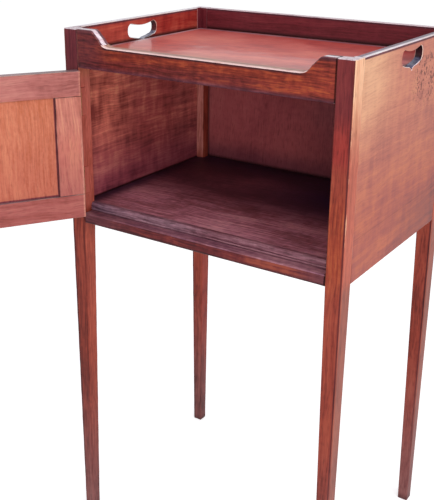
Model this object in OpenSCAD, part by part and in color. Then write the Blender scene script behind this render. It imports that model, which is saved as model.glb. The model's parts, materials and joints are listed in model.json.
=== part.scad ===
// Bedside pot cupboard on four tapered legs, with a tray top and one door, shown open.
// Millimetres. +Z is up, the front faces -Y, and the origin lies on the floor, midway
// between the four feet.

/* [Whole cupboard] */
// Width over the legs
body_w = 406; // [360:1:460]
// Depth over the legs
body_d = 305; // [260:1:360]
// Height of the legs, which run up to the corners of the tray
post_h = 730; // [690:1:790]
// Height of the underside of the cupboard above the floor
carcase_low = 470; // [430:1:500]

/* [Legs] */
// Side of the square leg within the cupboard
post_w = 22; // [20:0.5:28]
// Side of the square foot
foot_w = 15; // [11:0.5:19]

/* [Side and back boards] */
// Thickness of the side boards
side_t = 10; // [8:0.5:12]
// Step from the outer face of a leg back to the side board
side_inset = 0.5; // [0:0.1:1.5]
// Thickness of the board behind the tray
gallery_t = 10; // [8:0.5:12]
// Step from the back of a leg in to the board behind the tray
gallery_inset = 3.6; // [2:0.1:5]
// Height of the board behind the tray
gallery_h = 70; // [60:1:90]
// Thickness of the back panel of the cupboard
back_t = 6.5; // [5:0.5:8]
// Step from the back of a leg in to the back panel
back_inset = 0.9; // [0:0.1:2]
// How far the back panel laps its rebates
back_lap = 6; // [4:0.5:8]
// Thickness of the tongues on the side boards
tongue_t = 5; // [3:0.5:6]
// Length of the tongues on the side boards
tongue_l = 6; // [3:0.5:8]
// How far a tongue stops short of the ends of its board
tongue_stop = 8; // [5:1:20]
// Depth that the screws of the strips reach into a side board
screw_bite = 6; // [4:0.5:7]

/* [Hand-holds] */
// Width of a hand-hold
hold_w = 64; // [50:1:90]
// Height of a hand-hold at its ends
hold_h = 18.5; // [17:0.5:24]
// Radius of the corners of a hand-hold
hold_r = 8; // [5:0.5:8]
// Distance from the top of the side board down to the ends of a hand-hold
hold_drop = 7.5; // [5:0.5:9]
// How far both edges of a hand-hold hang lower in the middle than at the ends
hold_bow = 3.6; // [2:0.1:4]
// Distance of the left hand-hold behind the middle of its board
hold_left_y = -4; // [-15:0.5:15]
// Distance of the right hand-hold behind the middle of its board
hold_right_y = 5.5; // [-15:0.5:15]
// Radius of the small nick in the middle of the lower edge
nick_r = 1.8; // [1:0.1:3]
// Depth of the nick below the middle of the lower edge
nick_drop = 4; // [3:0.1:5]

/* [Tray] */
// Drop from the top of the legs to the tray board
tray_drop = 30.5; // [28:0.5:34]
// Thickness of the tray board
tray_t = 10; // [7:0.5:12]
// Width of the strips that carry the tray and the floor
bearer_w = 12; // [8:0.5:16]
// Height of the strips that carry the floor
bearer_h = 8.5; // [6:0.5:12]

/* [Front rails] */
// Thickness of the rail over the door
top_rail_t = 15; // [12:0.5:18]
// Height of the middle of the rail over the door
top_rail_h = 29.4; // [27:0.1:36]
// Drop from the top of the legs to the middle of the rail over the door
rail_dip = 19.6; // [18:0.1:26]
// Distance from the left leg to the start of the rail's downward sweep
horn_flat_left = 21; // [8:1:40]
// Distance from the right leg to the start of the rail's downward sweep
horn_flat_right = 15; // [8:1:40]
// Radius of the hollow at the foot of the sweep
horn_hollow_r = 17; // [14:0.5:20]
// Radius of the round at the head of the sweep
horn_round_r = 8; // [5:0.5:10]
// Height of the small step in the middle of the sweep
horn_step = 1.3; // [0.5:0.1:2]
// Height of the rail under the door
low_rail_h = 14.5; // [12:0.5:20]
// Depth of the rail under the door, from front to back
low_rail_d = 34; // [32:1:50]
// Depth of the rail under the back of the floor
back_rail_d = 22; // [20:1:40]
// Thickness of the upright tenons on the rails
tenon_t = 7; // [5:0.5:8]
// Width of the flat tenons on the rails
tenon_w = 14; // [10:0.5:15]
// Length of the tenons on the rails
tenon_l = 12; // [8:0.5:13]
// Shoulder of the tenons, from the face of their rail
tenon_set = 3.5; // [2.5:0.5:4]
// Shoulder of the tenons on the thinner boards at the back
thin_set = 2; // [1:0.5:3]

/* [Cupboard floor] */
// Thickness of the floor board
floor_t = 11; // [9:0.5:14]
// Width of the moulded strip along the front of the floor
lip_w = 7.5; // [6:0.5:12]
// Radius of the front edge of the strip
lip_r = 2.5; // [1.5:0.1:4]
// Height of the bead along the foot of the strip
bead_h = 3.4; // [2.5:0.1:4.5]
// Width of the groove above the bead
quirk_w = 0.8; // [0.5:0.1:1.2]

/* [Door] */
// How far the door stands open, in degrees from shut
door_open = 122; // [0:1:170]
// Thickness of the door
door_t = 14; // [12:0.5:16]
// Gap over and under the door
door_gap = 0.8; // [0.5:0.1:1.5]
// Gap at each side of the door
edge_gap = 1; // [0.8:0.1:1.4]
// Space between the shut door and the strip that stops it
stop_gap = 0.5; // [0.2:0.1:1]
// Height of the rails of the door
door_rail_w = 32; // [26:0.5:40]
// Width of the stiles of the door
stile_w = 34; // [28:0.5:44]
// Length of the tenons on the stiles
stile_tenon_l = 14; // [8:0.5:20]
// Thickness of the tenons on the stiles
stile_tenon_t = 4.6; // [3:0.1:6]
// Thickness of the door panel
panel_t = 5.6; // [4:0.1:7]
// Step from the inner face of the frame down to the panel
panel_set = 4.6; // [3:0.1:5]
// Depth of the groove that holds the panel
panel_lap = 6; // [4:0.5:8]
// Space for the panel to move in its groove
panel_play = 0.5; // [0.2:0.1:1]

/* [Hinges] */
// Length of a hinge
hinge_len = 36; // [28:1:50]
// Distance from the ends of the door to a hinge
hinge_inset = 26; // [18:1:36]
// Width of a hinge leaf
leaf_w = 11.5; // [9:0.5:12]
// Thickness of a hinge leaf
leaf_t = 1.2; // [1:0.05:1.3]
// Depth of the recess for a hinge leaf
leaf_sink = 0.85; // [0.7:0.05:0.9]
// Radius of the hinge barrel
barrel_r = 2.4; // [2.1:0.1:3]
// Space between the hinge barrel and the front of the cupboard
barrel_gap = 0.3; // [0.3:0.05:0.8]
// Radius of the hinge pin
hinge_pin_r = 1; // [0.8:0.05:1.2]
// Running clearance round the hinge pin
pin_play = 0.04; // [0.02:0.01:0.08]
// Gap between neighbouring knuckles
knuckle_gap = 0.15; // [0.1:0.05:0.3]

/* [Turn catch] */
// Radius of the ball of the knob
knob_r = 8; // [6:0.5:9]
// Length of the knob from the rose to its tip
knob_l = 20; // [18:0.5:26]
// Radius of the rose behind the knob
rose_r = 10; // [8:0.5:13]
// Thickness of the rose
rose_t = 1.4; // [1:0.1:2.5]
// Radius of the spindle
spindle_r = 2.5; // [2:0.1:3.5]
// Running clearance round the spindle
spindle_play = 0.06; // [0.02:0.01:0.1]
// Width of the catch arm
arm_w = 8; // [7:0.5:10]
// Thickness of the catch arm
arm_t = 2; // [1.5:0.1:2.5]
// How far the turned arm enters the leg
arm_reach = 6; // [3:0.5:8]

/* [Fasteners] */
// Radius of the screw shanks
screw_r = 1.1; // [0.8:0.05:1.3]
// Radius of the screw heads
screw_head_r = 2.1; // [1.6:0.05:2.3]
// Length of the hinge screws
screw_l = 10; // [7:0.5:12]
// Radius of the nails in the back panel
nail_r = 0.9; // [0.6:0.05:1.1]
// Wood left in front of the tips of the nails
nail_cover = 1.5; // [1:0.1:2.5]

/* [Hidden] */
$fn = 64;

// Colours of the finished wood and brass
leg_colour = "#7d2f24";
rail_colour = "#8a3a26";
side_colour = "#b8694e";
inside_colour = "#6d2a22";
floor_colour = "#5a2a2c";
tray_colour = "#c4706a";
frame_colour = "#b4645c";
panel_colour = "#c46e4c";
bearer_colour = "#9c6a4a";
brass_colour = "#b08a3e";
steel_colour = "#6c6660";

// Tiny space left at the ends of tenons and tongues, round fasteners and between loose pieces
joint_end_gap = 0.5;
fastener_gap = 0.02;
loose_gap = 0.3;
// Length by which a cutter passes the surface that it opens
over = 1;

// Planes of the cupboard
half_w = body_w / 2;
half_d = body_d / 2;
inner_x = half_w - post_w;
inner_y = half_d - post_w;
side_out_x = half_w - side_inset;
side_in_x = side_out_x - side_t;
gallery_out_y = half_d - gallery_inset;
gallery_in_y = gallery_out_y - gallery_t;
back_out_y = half_d - back_inset;
back_in_y = back_out_y - back_t;
nail_l = back_out_y - gallery_in_y - nail_cover;
nail_head_t = 0.8;

bearer_screw_l = bearer_w + screw_bite;
bearer_end_gap = 2;

// Heights
gallery_low = post_h - gallery_h;
back_top = gallery_low + back_lap;
tray_top = post_h - tray_drop;
tray_low = tray_top - tray_t;
rail_mid_top = post_h - rail_dip;
opening_top = rail_mid_top - top_rail_h;
ledge_z = carcase_low + low_rail_h;
floor_top = ledge_z + floor_t;
tray_bearer_h = tray_low - opening_top;

// Front to back
rail_back_y = -half_d + top_rail_t;
low_rail_back_y = -half_d + low_rail_d;
back_rail_front_y = back_in_y - back_rail_d;
door_in_y = -half_d + door_t;
lip_front_y = door_in_y + stop_gap;
lip_back_y = lip_front_y + lip_w;

// Shut door
door_x0 = -inner_x + edge_gap;
door_x1 = inner_x - edge_gap;
door_z0 = ledge_z + door_gap;
door_z1 = opening_top - door_gap;
sight_x0 = door_x0 + stile_w;
sight_x1 = door_x1 - stile_w;
sight_z0 = door_z0 + door_rail_w;
sight_z1 = door_z1 - door_rail_w;
panel_y1 = door_in_y - panel_set;
panel_y0 = panel_y1 - panel_t;
stile_tenon_y0 = (panel_y0 + panel_y1 - stile_tenon_t) / 2;

// Hinges
pin_x = -inner_x + edge_gap / 2;
pin_y = -half_d - barrel_r - barrel_gap;
knuckles = 5;
knuckle_step = hinge_len / knuckles;
hinge_z_low = door_z0 + hinge_inset;
hinge_z_high = door_z1 - hinge_inset - hinge_len;
leaf_screws = 2;
leaf_screw_step = hinge_len / leaf_screws;
leaf_screw_y = -half_d + leaf_w * 0.6;
pin_head_rim = 0.7;
pin_head_r = hinge_pin_r + pin_head_rim;
pin_head_t = 0.9;

// Turn catch
knob_x = door_x1 - stile_w / 2;
knob_wall = 1.1;
knob_flare = 1.5;
knob_neck_r = spindle_r + knob_wall;
knob_foot_r = knob_neck_r + knob_flare;
knob_z = (door_z0 + door_z1) / 2;
arm_y0 = door_in_y + loose_gap;
arm_y1 = arm_y0 + arm_t;
arm_to_leg = stile_w / 2 + edge_gap;
arm_out = arm_to_leg + arm_reach;
nut_wall = 1.6;
nut_r = spindle_r + nut_wall;
nut_t = 2;
slot_play = 0.5;
knob_run_gap = 0.1;
knob_socket = knob_l * 0.55;
rose_pin_r = 0.7;
rose_pin_bite = 8;
rose_pin_out = (rose_r + knob_foot_r) / 2;

// A block between two places on each axis, given in either order
module block(x, y, z) {
    translate([min(x), min(y), min(z)])
        cube([abs(x[1] - x[0]), abs(y[1] - y[0]), abs(z[1] - z[0])]);
}

// A round bar along Y, from y0 to y1
module bar_y(r, x, y0, y1, z) {
    translate([x, max(y0, y1), z])
        rotate([90, 0, 0])
            cylinder(r = r, h = abs(y1 - y0));
}

// Turns what is drawn on the shut door to where the door stands
module with_door() {
    translate([pin_x, pin_y, 0])
        rotate([0, 0, -door_open])
            translate([-pin_x, -pin_y, 0])
                children();
}

// ---- Legs -------------------------------------------------------------------

// Side view of a leg: outer edge straight, inner edge tapered below the cupboard
module leg_outline() {
    polygon([[0, 0], [foot_w, 0], [post_w, carcase_low], [post_w, post_h], [0, post_h]]);
}

// A leg with its two outer faces on the corner at sx, sy
module leg_blank(sx, sy) {
    turn = sy < 0 ? (sx < 0 ? 0 : 90) : (sx < 0 ? 270 : 180);
    translate([sx * half_w, sy * half_d, 0])
        rotate([0, 0, turn])
            intersection() {
                translate([0, post_w, 0])
                    rotate([90, 0, 0])
                        linear_extrude(post_w)
                            leg_outline();
                rotate([90, 0, 90])
                    linear_extrude(post_w)
                        leg_outline();
            }
}

module leg(sx, sy) {
    color(leg_colour)
        difference() {
            leg_blank(sx, sy);
            tray_corner(sx, sy);
            side_tongue(sx, sy, joint_end_gap);
            if (sy < 0) {
                top_rail_tenon(sx, joint_end_gap);
                low_rail_tenon(sx, joint_end_gap);
            } else {
                gallery_tenon(sx, joint_end_gap);
                back_rail_tenon(sx, joint_end_gap);
                back_rebate(sx);
                back_side_nails(sx, fastener_gap);
            }
            if (sy < 0 && sx < 0)
                hinge_cuts(-1);
            if (sy < 0 && sx > 0)
                catch_slot();
        }
}

// Space above the shoulder of a leg, where the corner of the tray lies
module tray_corner(sx, sy) {
    board_y = sy < 0 ? rail_back_y : gallery_in_y;
    block([sx * (inner_x - over), sx * side_in_x], [sy * (inner_y - over), board_y],
          [tray_low, post_h + over]);
}

// Rebate in a back leg for the edge of the back panel
module back_rebate(sx) {
    block([sx * (inner_x - over), sx * (inner_x + back_lap)],
          [back_in_y, half_d + over], [carcase_low, back_top]);
}

// Slot in the right front leg that takes the turned catch arm
module catch_slot() {
    rise = sqrt(pow(arm_out, 2) - pow(arm_to_leg, 2));
    block([inner_x - over, inner_x + arm_reach + slot_play],
          [arm_y0 - slot_play, arm_y1 + slot_play],
          [knob_z - arm_w / 2 - slot_play, knob_z + rise + slot_play]);
}

// ---- Side and back boards ---------------------------------------------------

// Tongue on the end of a side board, or its groove when extra is given
module side_tongue(sx, sy, extra = 0) {
    mid_x = side_out_x - side_t / 2;
    block([sx * (mid_x - tongue_t / 2), sx * (mid_x + tongue_t / 2)],
          [sy * (inner_y - over), sy * (inner_y + tongue_l + extra)],
          [carcase_low + tongue_stop, post_h - tongue_stop]);
}

// Outline of a hand-hold, with the ends of its lower edge at y = 0
module hold_outline() {
    bow_r = (pow(hold_w / 2 - hold_r, 2) + pow(hold_bow, 2)) / (2 * hold_bow);
    shoulder = nick_r * 4;
    edge = 0.5;
    difference() {
        union() {
            translate([-hold_w / 2 + hold_r, 0])
                square([hold_w - 2 * hold_r, hold_h]);
            translate([-hold_w / 2, hold_r])
                square([hold_w, hold_h - 2 * hold_r]);
            for (x = [-1, 1])
                for (y = [hold_r, hold_h - hold_r])
                    translate([x * (hold_w / 2 - hold_r), y])
                        circle(r = hold_r);
            intersection() {
                translate([0, bow_r - hold_bow])
                    circle(r = bow_r, $fn = 180);
                translate([-hold_w / 2, -hold_bow])
                    square([hold_w, hold_bow + edge]);
            }
        }
        translate([0, hold_h - hold_bow + bow_r])
            circle(r = bow_r, $fn = 180);
    }
    translate([0, -hold_bow]) {
        polygon([[-shoulder, edge], [-nick_r, nick_r - nick_drop],
                 [nick_r, nick_r - nick_drop], [shoulder, edge]]);
        translate([0, nick_r - nick_drop])
            circle(r = nick_r);
    }
}

module hand_hold(sx) {
    translate([sx * side_in_x - over * sx, sx < 0 ? hold_left_y : hold_right_y,
               post_h - hold_drop - hold_h])
        rotate([90, 0, sx > 0 ? 90 : -90])
            linear_extrude(side_t + 2 * over)
                hold_outline();
}

module side_board(sx) {
    color(side_colour)
        difference() {
            union() {
                block([sx * side_in_x, sx * side_out_x], [-inner_y, inner_y],
                      [carcase_low, post_h]);
                side_tongue(sx, -1);
                side_tongue(sx, 1);
            }
            hand_hold(sx);
            at_bearer_screws(sx)
                screw_hole(bearer_screw_l);
        }
}

// Tenon on the board behind the tray, or its mortise when extra is given
module gallery_tenon(sx, extra = 0) {
    block([sx * (inner_x - over), sx * (inner_x + tenon_l + extra)],
          [gallery_in_y + thin_set, gallery_out_y - thin_set],
          [back_top + tenon_set, post_h - tenon_set]);
}

module gallery_board_back() {
    color(inside_colour)
        difference() {
            union() {
                block([-inner_x, inner_x], [gallery_in_y, gallery_out_y],
                      [gallery_low, post_h]);
                gallery_tenon(-1);
                gallery_tenon(1);
            }
            block([-inner_x - over, inner_x + over], [back_in_y, gallery_out_y + over],
                  [gallery_low - over, back_top]);
            back_top_nails(fastener_gap);
        }
}

module back_panel() {
    color(inside_colour)
        difference() {
            block([-inner_x - back_lap, inner_x + back_lap], [back_in_y, back_out_y],
                  [carcase_low, back_top]);
            back_nail_set(fastener_gap);
        }
}

// ---- Rails ------------------------------------------------------------------

// Tenon of the rail over the door, or its mortise when extra is given
module top_rail_tenon(sx, extra = 0) {
    y0 = -half_d + tenon_set;
    block([sx * (inner_x - over), sx * (inner_x + tenon_l + extra)],
          [y0, y0 + tenon_t], [opening_top + tenon_set, post_h - tenon_set]);
}

// Half of the rail over the door, seen from the front, from the middle to the right leg,
// with the given length of flat top beside the leg
module rail_half_outline(flat) {
    horn_x = inner_x - flat;
    turn_deg = 60;
    slope_deg = 45;
    round_x = horn_x - horn_round_r * sin(slope_deg);
    round_z = post_h - horn_round_r * (1 - cos(slope_deg));
    hollow_rise = horn_hollow_r * (1 - cos(turn_deg));
    step_z = rail_mid_top + hollow_rise + horn_step;
    step_x = round_x - (round_z - step_z) / tan(slope_deg);
    hollow_end_x = step_x - horn_step;
    hollow_x = hollow_end_x - horn_hollow_r * sin(turn_deg);
    difference() {
        union() {
            polygon([[0, opening_top], [inner_x, opening_top], [inner_x, post_h],
                     [horn_x, post_h], [round_x, round_z], [step_x, step_z],
                     [hollow_end_x, step_z], [hollow_end_x, rail_mid_top + hollow_rise],
                     [hollow_x, rail_mid_top], [0, rail_mid_top]]);
            translate([horn_x, post_h - horn_round_r])
                circle(r = horn_round_r);
        }
        intersection() {
            translate([hollow_x, rail_mid_top + horn_hollow_r])
                circle(r = horn_hollow_r, $fn = 96);
            square([inner_x, rail_mid_top + hollow_rise]);
        }
    }
}

module front_top_rail() {
    color(rail_colour)
        union() {
            translate([0, rail_back_y, 0])
                rotate([90, 0, 0])
                    linear_extrude(top_rail_t) {
                        rail_half_outline(horn_flat_right);
                        mirror([1, 0])
                            rail_half_outline(horn_flat_left);
                    }
            top_rail_tenon(-1);
            top_rail_tenon(1);
        }
}

// Flat tenon of the rail under the door, or its mortise when extra is given
module low_rail_tenon(sx, extra = 0) {
    y0 = -half_d + tenon_set;
    block([sx * (inner_x - over), sx * (inner_x + tenon_l + extra)],
          [y0, y0 + tenon_w], [carcase_low + tenon_set, ledge_z - tenon_set]);
}

module front_bottom_rail() {
    color(rail_colour) {
        block([-inner_x, inner_x], [-half_d, low_rail_back_y], [carcase_low, ledge_z]);
        low_rail_tenon(-1);
        low_rail_tenon(1);
    }
}

// Flat tenon of the rail under the back of the floor, or its mortise when extra is given
module back_rail_tenon(sx, extra = 0) {
    y1 = back_in_y - thin_set;
    y0 = inner_y + thin_set;
    block([sx * (inner_x - over), sx * (inner_x + tenon_l + extra)],
          [y0, y1], [carcase_low + tenon_set, ledge_z - tenon_set]);
}

module back_bottom_rail() {
    color(bearer_colour)
        difference() {
            union() {
                block([-inner_x, inner_x], [back_rail_front_y, back_in_y],
                      [carcase_low, ledge_z]);
                back_rail_tenon(-1);
                back_rail_tenon(1);
            }
            back_low_nails(fastener_gap);
        }
}

// ---- Tray and floor ---------------------------------------------------------

// The tray board, whose corners lie on the shoulders of the legs
module tray_board() {
    color(tray_colour)
        block([-side_in_x, side_in_x], [rail_back_y, gallery_in_y], [tray_low, tray_top]);
}

// Strip against a side board: sx is the side, y its two ends, z its two heights
module side_bearer(sx, y, z) {
    color(bearer_colour)
        difference() {
            block([sx * (side_in_x - bearer_w), sx * side_in_x], y, z);
            at_bearer_screws(sx)
                screw_hole(bearer_screw_l);
        }
}

module tray_bearer(sx) {
    end_y = inner_y - bearer_end_gap;
    side_bearer(sx, [-end_y, end_y], [opening_top, tray_low]);
}

module floor_bearer(sx) {
    side_bearer(sx, [low_rail_back_y, back_rail_front_y], [ledge_z - bearer_h, ledge_z]);
}

module tray_bearer_front() {
    color(bearer_colour)
        block([-inner_x + bearer_w, inner_x - bearer_w], [rail_back_y, rail_back_y + bearer_w],
              [opening_top, tray_low]);
}

module floor_board() {
    color(floor_colour) {
        block([-inner_x, inner_x], [lip_back_y, back_in_y], [ledge_z, floor_top]);
        block([-side_in_x, side_in_x], [max(-inner_y, lip_back_y), inner_y],
              [ledge_z, floor_top]);
    }
}

// Section of the moulded strip, seen from its left end: a bead, a groove and a rounded top
module lip_section() {
    difference() {
        square([lip_w, floor_t]);
        translate([0, bead_h])
            square([quirk_w, quirk_w]);
        difference() {
            translate([-over, floor_t - lip_r])
                square([lip_r + over, lip_r + over]);
            translate([lip_r, floor_t - lip_r])
                circle(r = lip_r);
        }
        difference() {
            translate([-over, 0])
                square([bead_h / 2 + over, bead_h]);
            translate([bead_h / 2, bead_h / 2])
                circle(r = bead_h / 2);
        }
    }
}

module floor_lip() {
    color(floor_colour)
        translate([-inner_x, lip_front_y, ledge_z])
            rotate([90, 0, 90])
                linear_extrude(2 * inner_x)
                    lip_section();
}

// ---- Screws and nails -------------------------------------------------------

// Screw with a countersunk, slotted head at the origin, pointing along +Z
module screw(length) {
    sink = screw_head_r - screw_r;
    slot_w = screw_head_r * 0.25;
    difference() {
        union() {
            cylinder(r1 = screw_head_r, r2 = screw_r, h = sink);
            cylinder(r = screw_r, h = length);
        }
        block([-slot_w / 2, slot_w / 2], [-screw_head_r, screw_head_r], [-over, sink / 2]);
    }
}

// Countersunk hole for such a screw
module screw_hole(length) {
    sink = screw_head_r - screw_r;
    cylinder(r1 = screw_head_r + fastener_gap, r2 = screw_r + fastener_gap, h = sink);
    cylinder(r = screw_r + fastener_gap, h = length + joint_end_gap);
}

// Places of the screws that hold the strips of one side, in two rows along the board
module at_bearer_screws(sx) {
    screw_count = 3;
    pitch = 2 * inner_y / screw_count;
    for (z = [opening_top + tray_bearer_h / 2, ledge_z - bearer_h / 2])
        for (i = [0 : screw_count - 1])
            translate([sx * (side_in_x - bearer_w), -inner_y + pitch * (i + 0.5), z])
                rotate([0, sx * 90, 0])
                    children();
}

module bearer_screws() {
    color(steel_colour)
        for (sx = [-1, 1])
            at_bearer_screws(sx)
                screw(bearer_screw_l);
}

// Nail with a thin flat head, flush with the back panel at x, z
module nail(x, z, gap = 0) {
    head_r = nail_r * 2;
    bar_y(head_r + gap, x, back_out_y + (gap > 0 ? over : 0), back_out_y - nail_head_t, z);
    bar_y(nail_r + gap, x, back_out_y - nail_head_t / 2, back_out_y - nail_l - gap, z);
}

module back_side_nails(sx, gap = 0) {
    nail_count = 4;
    pitch = (back_top - carcase_low) / nail_count;
    for (i = [0 : nail_count - 1])
        nail(sx * (inner_x + back_lap / 2), carcase_low + pitch * (i + 0.5), gap);
}

module back_row(z, gap) {
    nail_count = 4;
    pitch = 2 * inner_x / nail_count;
    for (i = [0 : nail_count - 1])
        nail(-inner_x + pitch * (i + 0.5), z, gap);
}

module back_top_nails(gap = 0) {
    back_row(back_top - back_lap / 2, gap);
}

module back_low_nails(gap = 0) {
    back_row(carcase_low + low_rail_h / 2, gap);
}

module back_nail_set(gap = 0) {
    for (sx = [-1, 1])
        back_side_nails(sx, gap);
    back_top_nails(gap);
    back_low_nails(gap);
}

module back_nails() {
    color(steel_colour)
        back_nail_set();
}

// ---- Hinges, drawn on the shut door -------------------------------------------

// The edge that a leaf is let into: that of the leg (side -1) or of the door (side 1)
function leaf_face(side) = side < 0 ? -inner_x : door_x0;

// Places of the screws of one leaf, whose foot is at z0
module at_leaf_screws(side, z0) {
    for (i = [0 : leaf_screws - 1])
        translate([leaf_face(side) + side * (leaf_sink - leaf_t), leaf_screw_y,
                   z0 + leaf_screw_step * (i + 0.5)])
            rotate([0, side * 90, 0])
                children();
}

// Leaf with its share of the knuckles
module hinge_leaf(side, z0) {
    x_in = leaf_face(side) + side * leaf_sink;
    x_out = x_in - side * leaf_t;
    first = side < 0 ? 0 : 1;
    difference() {
        union() {
            block([x_in, x_out], [-half_d, -half_d + leaf_w], [z0, z0 + hinge_len]);
            for (i = [first : 2 : knuckles - 1]) {
                low = z0 + knuckle_step * i + (i > 0 ? knuckle_gap / 2 : 0);
                high = z0 + knuckle_step * (i + 1) - (i < knuckles - 1 ? knuckle_gap / 2 : 0);
                block([x_in, x_out], [pin_y, -half_d + over], [low, high]);
                translate([pin_x, pin_y, low])
                    cylinder(r = barrel_r, h = high - low);
            }
        }
        translate([pin_x, pin_y, z0 - over])
            cylinder(r = hinge_pin_r + pin_play, h = hinge_len + 2 * over);
        at_leaf_screws(side, z0)
            screw_hole(screw_l);
    }
}

// Recesses and screw holes for both leaves on one side
module hinge_cuts(side) {
    for (z0 = [hinge_z_low, hinge_z_high]) {
        block([leaf_face(side) - side * over, leaf_face(side) + side * leaf_sink],
              [-half_d - over, -half_d + leaf_w], [z0, z0 + hinge_len]);
        at_leaf_screws(side, z0)
            screw_hole(screw_l);
    }
}

module leaf_screw_set(side) {
    for (z0 = [hinge_z_low, hinge_z_high])
        at_leaf_screws(side, z0)
            screw(screw_l);
}

module hinge_leg_leaf(z0) {
    color(brass_colour)
        hinge_leaf(-1, z0);
}

module hinge_door_leaf(z0) {
    color(brass_colour)
        with_door()
            hinge_leaf(1, z0);
}

module leg_leaf_screws() {
    color(brass_colour)
        leaf_screw_set(-1);
}

module door_leaf_screws() {
    color(brass_colour)
        with_door()
            leaf_screw_set(1);
}

module hinge_pin(z0) {
    color(brass_colour)
        translate([pin_x, pin_y, z0]) {
            cylinder(r = hinge_pin_r, h = hinge_len);
            translate([0, 0, hinge_len])
                cylinder(r = pin_head_r, h = pin_head_t);
            translate([0, 0, -pin_head_t])
                cylinder(r = pin_head_r, h = pin_head_t);
        }
}

// ---- Door, drawn shut -------------------------------------------------------

// Space for the panel in the grooves of the frame
module panel_space(play) {
    block([sight_x0 - panel_lap - play, sight_x1 + panel_lap + play], [panel_y0, panel_y1],
          [sight_z0 - panel_lap - play, sight_z1 + panel_lap + play]);
}

// Tenons on both ends of the stile at x, or their mortises when extra is given
module stile_tenons(x, extra = 0) {
    inset = panel_lap + thin_set;
    for (end = [-1, 1]) {
        shoulder = end < 0 ? sight_z0 : sight_z1;
        block([x[0] + inset, x[1] - inset], [stile_tenon_y0, stile_tenon_y0 + stile_tenon_t],
              [shoulder - end * over, shoulder + end * (stile_tenon_l + extra)]);
    }
}

module door_rail(z) {
    color(frame_colour)
        with_door()
            difference() {
                block([door_x0, door_x1], [-half_d, door_in_y], z);
                panel_space(panel_play);
                stile_tenons([door_x0, sight_x0], joint_end_gap);
                stile_tenons([sight_x1, door_x1], joint_end_gap);
                hinge_cuts(1);
            }
}

// Stile between its two ends x, with its groove for the panel
module stile_blank(x) {
    difference() {
        union() {
            block(x, [-half_d, door_in_y], [sight_z0, sight_z1]);
            stile_tenons(x);
        }
        block([sight_x0 - panel_lap - panel_play, sight_x1 + panel_lap + panel_play],
              [panel_y0, panel_y1], [sight_z0 - over, sight_z1 + over]);
    }
}

module door_hinge_stile() {
    color(frame_colour)
        with_door()
            difference() {
                stile_blank([door_x0, sight_x0]);
                hinge_cuts(1);
            }
}

module door_lock_stile() {
    color(frame_colour)
        with_door()
            difference() {
                stile_blank([sight_x1, door_x1]);
                bar_y(spindle_r + spindle_play, knob_x, -half_d - over, door_in_y + over, knob_z);
                rose_pin_pair(fastener_gap);
            }
}

module door_panel() {
    color(panel_colour)
        with_door()
            panel_space(0);
}

// ---- Knob and turn catch, drawn on the shut door ------------------------------

module knob_rose() {
    color(brass_colour)
        with_door()
            difference() {
                bar_y(rose_r, knob_x, -half_d, -half_d - rose_t, knob_z);
                bar_y(spindle_r + spindle_play, knob_x, -half_d + over, -half_d - rose_t - over,
                      knob_z);
                rose_pin_pair(fastener_gap);
            }
}

// Two small pins through the rose into the stile
module rose_pin_pair(gap = 0) {
    for (side = [-1, 1])
        bar_y(rose_pin_r + gap, knob_x, -half_d - rose_t - (gap > 0 ? over : 0),
              -half_d + rose_pin_bite + gap, knob_z + side * rose_pin_out);
}

module rose_pins() {
    color(brass_colour)
        with_door()
            rose_pin_pair();
}

// Outline of half the knob, from its seat at y = 0 to the tip of its ball
module knob_outline() {
    foot_t = knob_l * 0.1;
    difference() {
        union() {
            square([knob_foot_r, foot_t]);
            square([knob_neck_r, knob_l - knob_r]);
            intersection() {
                translate([0, knob_l - knob_r])
                    circle(r = knob_r);
                square([knob_r, knob_l]);
            }
        }
        translate([-over, -over])
            square([spindle_r + fastener_gap + over, knob_socket + over]);
    }
}

module knob() {
    color(brass_colour)
        with_door()
            translate([knob_x, -half_d - rose_t - knob_run_gap, knob_z])
                rotate([90, 0, 0])
                    rotate_extrude()
                        knob_outline();
}

module catch_spindle() {
    y0 = -half_d - rose_t - knob_run_gap - knob_socket + loose_gap;
    color(brass_colour)
        with_door()
            bar_y(spindle_r, knob_x, y0, arm_y1 + nut_t, knob_z);
}

// Arm of the catch, pointing up while the door is free to move
module catch_arm() {
    color(brass_colour)
        with_door()
            difference() {
                union() {
                    bar_y(arm_w / 2, knob_x, arm_y0, arm_y1, knob_z);
                    bar_y(arm_w / 2, knob_x, arm_y0, arm_y1, knob_z + arm_out - arm_w / 2);
                    block([knob_x - arm_w / 2, knob_x + arm_w / 2], [arm_y0, arm_y1],
                          [knob_z, knob_z + arm_out - arm_w / 2]);
                }
                bar_y(spindle_r + fastener_gap, knob_x, arm_y0 - over, arm_y1 + over, knob_z);
            }
}

module catch_nut() {
    color(brass_colour)
        with_door()
            difference() {
                bar_y(nut_r, knob_x, arm_y1, arm_y1 + nut_t, knob_z, $fn = 6);
                bar_y(spindle_r + fastener_gap, knob_x, arm_y1 - over, arm_y1 + nut_t + over,
                      knob_z);
            }
}

leg(-1, -1);  // leg_front_left
leg(1, -1);  // leg_front_right
leg(-1, 1);  // leg_back_left
leg(1, 1);  // leg_back_right
side_board(-1);  // side_board_left
side_board(1);  // side_board_right
gallery_board_back();
back_panel();
front_top_rail();
front_bottom_rail();
back_bottom_rail();
tray_board();
tray_bearer(-1);  // tray_bearer_left
tray_bearer(1);  // tray_bearer_right
tray_bearer_front();
floor_board();
floor_lip();
floor_bearer(-1);  // floor_bearer_left
floor_bearer(1);  // floor_bearer_right
bearer_screws();
back_nails();
door_rail([sight_z1, door_z1]);  // door_top_rail
door_rail([door_z0, sight_z0]);  // door_bottom_rail
door_hinge_stile();
door_lock_stile();
door_panel();
hinge_leg_leaf(hinge_z_high);  // hinge_leg_leaf_top
hinge_leg_leaf(hinge_z_low);  // hinge_leg_leaf_bottom
hinge_door_leaf(hinge_z_high);  // hinge_door_leaf_top
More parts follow.
